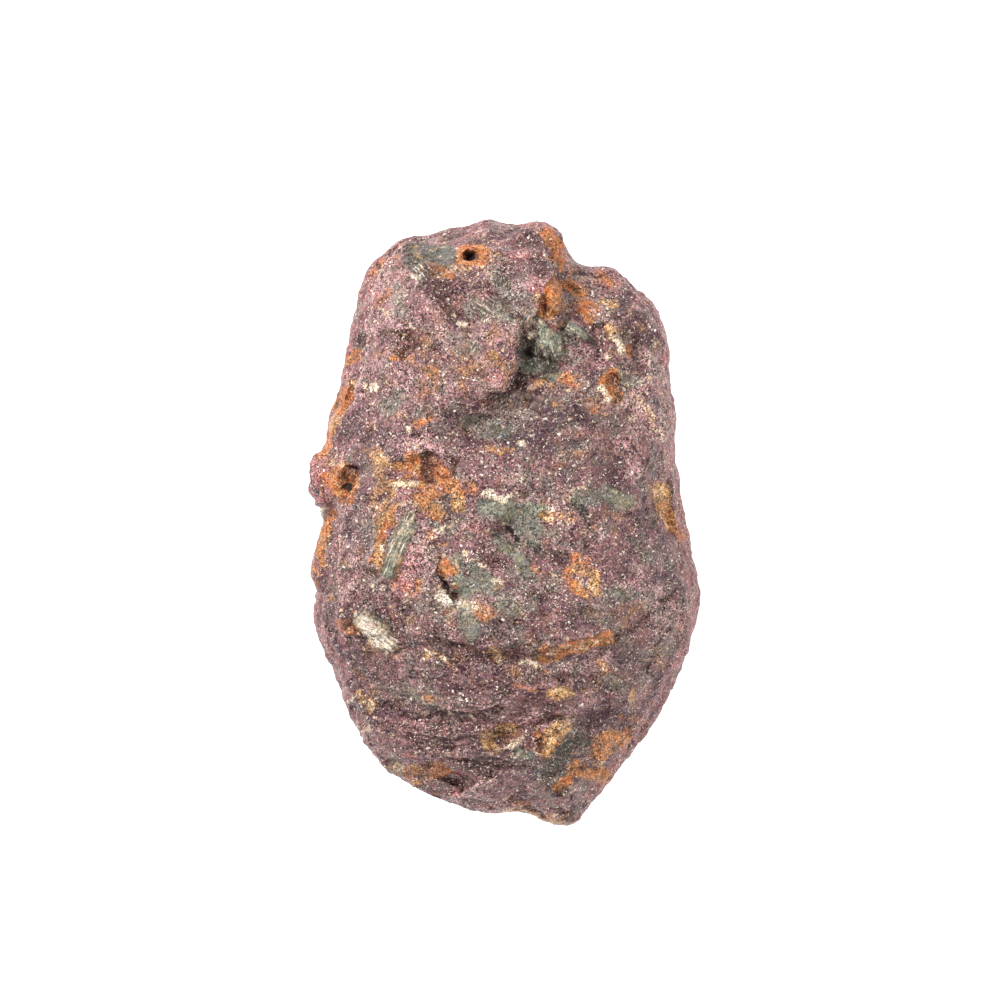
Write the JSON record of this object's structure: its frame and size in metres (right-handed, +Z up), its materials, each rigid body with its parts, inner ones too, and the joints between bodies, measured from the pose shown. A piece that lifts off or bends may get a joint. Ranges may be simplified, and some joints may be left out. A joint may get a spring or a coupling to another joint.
{
  "type": "rough ruby",
  "caption": "Rough natural ruby: a blunt, egg-shaped lump of grainy corundum with ledges, rusty pits and small grown-in crystals, lying on a flat parting face.",
  "frame": {"origin": "middle of the stone's box, on the plane of the parting face that it lies on", "axes": "+Y along the length of the stone, from the pointed foot to the blunt crown end; +Z up from the parting face, through the flattest direction of the stone"},
  "size_m": [0.0196, 0.0304, 0.0132],
  "materials": {
    "ruby": "sugary grey-purple corundum with rust-orange stains, green and cream crystals, fine white sparkle"
  },
  "bodies": {
    "root": {"ruby": "ruby"}
  },
  "joints": []
}
